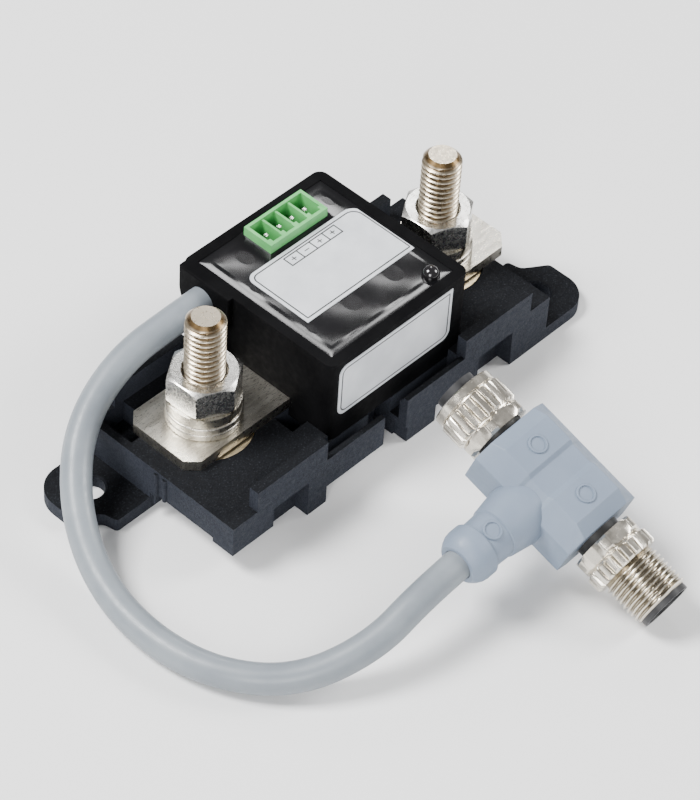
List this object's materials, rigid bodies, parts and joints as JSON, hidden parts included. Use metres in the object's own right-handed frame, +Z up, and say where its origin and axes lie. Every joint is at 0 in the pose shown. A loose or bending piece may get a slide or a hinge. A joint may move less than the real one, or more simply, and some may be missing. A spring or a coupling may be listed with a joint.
{
  "type": "battery monitor shunt",
  "caption": "Current shunt with threaded terminals on a black holder, a potted sensing module with a small green header, and a short cable ending in a round screw T-connector.",
  "frame": {"origin": "middle of the holder and module's footprint on the mounting surface", "axes": "+X along the holder towards the stud with the free space round its bar, +Z up, -Y the labelled front"},
  "size_m": [0.1286, 0.1103, 0.0395],
  "materials": {
    "printed_nylon": "grainy sintered nylon",
    "nickel_bar": "brushed nickel plate",
    "resistance_alloy": "bare alloy",
    "brass_disc": "turned",
    "stud_steel": "rolled thread, nickel plated",
    "module_black": "textured",
    "potting_black": "cast resin",
    "board_green": "solder mask",
    "chip_black": "moulded",
    "capacitor_tan": "ceramic",
    "copper_wire": "tinned copper",
    "lamp_black": "glossy dome",
    "header_green": "moulded",
    "pin_tin": "tin plated",
    "label_silver": "satin foil",
    "cable_grey": "satin jacket",
    "tee_grey": "moulded",
    "insert_black": "moulded",
    "contact_gold": "gold plated",
    "seal_black": "O-ring rubber",
    "m12_nickel": "satin nickel plate",
    "washer_steel": "nickel plated",
    "nut_steel": "bright plated"
  },
  "bodies": {
    "root": {"base_holder": "printed_nylon", "terminal_bar_left": "nickel_bar", "terminal_bar_right": "nickel_bar", "resistance_sheet": "resistance_alloy", "seat_disc_left": "brass_disc", "seat_disc_right": "brass_disc", "stud_left": "stud_steel", "stud_right": "stud_steel", "module_housing": "module_black", "potting": "potting_black", "circuit_board": "board_green", "controller_chip": "chip_black", "sense_amplifier": "chip_black", "voltage_regulator": "chip_black", "bus_transceiver": "chip_black", "ceramic_capacitors": "capacitor_tan", "sense_leads": "copper_wire", "cable_cores": "copper_wire", "status_led": "lamp_black", "led_leads": "copper_wire", "header_housing": "header_green", "header_pins": "pin_tin", "top_label": "label_silver", "side_label": "label_silver", "cable": "cable_grey", "connector_body": "tee_grey", "socket_insert": "insert_black", "socket_contacts": "contact_gold", "seal_ring_socket_side": "seal_black", "seal_ring_pin_side": "seal_black", "pin_insert": "insert_black", "pin_contacts": "contact_gold", "pin_shroud": "insert_black"},
    "washers_left": {"flat_washer_lower_left": "washer_steel", "flat_washer_upper_left": "washer_steel", "spring_washer_left": "washer_steel"},
    "nut_left": {"nut_left": "nut_steel"},
    "washers_right": {"flat_washer_lower_right": "washer_steel", "flat_washer_upper_right": "washer_steel", "spring_washer_right": "washer_steel"},
    "nut_right": {"nut_right": "nut_steel"},
    "coupling_nut": {"coupling_nut": "m12_nickel"},
    "coupling_screw": {"coupling_screw": "m12_nickel"}
  },
  "joints": [
    {"name": "washer_lift_left", "type": "slide", "parent": "root", "child": "washers_left", "axis": [0, 0, 1], "range_m": [0, 0.0134]},
    {"name": "nut_turn_left", "type": "hinge", "parent": "washers_left", "child": "nut_left", "pos_m": [-0.02885, 0.001, 0.0225], "axis": [0, 0, 1], "range_deg": [0, 3880]},
    {"name": "washer_lift_right", "type": "slide", "parent": "root", "child": "washers_right", "axis": [0, 0, 1], "range_m": [0, 0.0134]},
    {"name": "nut_turn_right", "type": "hinge", "parent": "washers_right", "child": "nut_right", "pos_m": [0.03515, 0.001, 0.0225], "axis": [0, 0, 1], "range_deg": [0, 3880]},
    {"name": "coupling_nut_turn", "type": "hinge", "parent": "root", "child": "coupling_nut", "pos_m": [0.00243, -0.04045, 0.02164], "axis": [0.0263, -0.9417, -0.3355], "continuous": true},
    {"name": "coupling_screw_turn", "type": "hinge", "parent": "root", "child": "coupling_screw", "pos_m": [0.00343, -0.07623, 0.00889], "axis": [0.0263, -0.9417, -0.3355], "continuous": true}
  ],
  "couplings": [
    {"joint": "nut_turn_left", "follows": "washer_lift_left", "rad_per_m": 5026.5},
    {"joint": "nut_turn_right", "follows": "washer_lift_right", "rad_per_m": 5026.5}
  ]
}
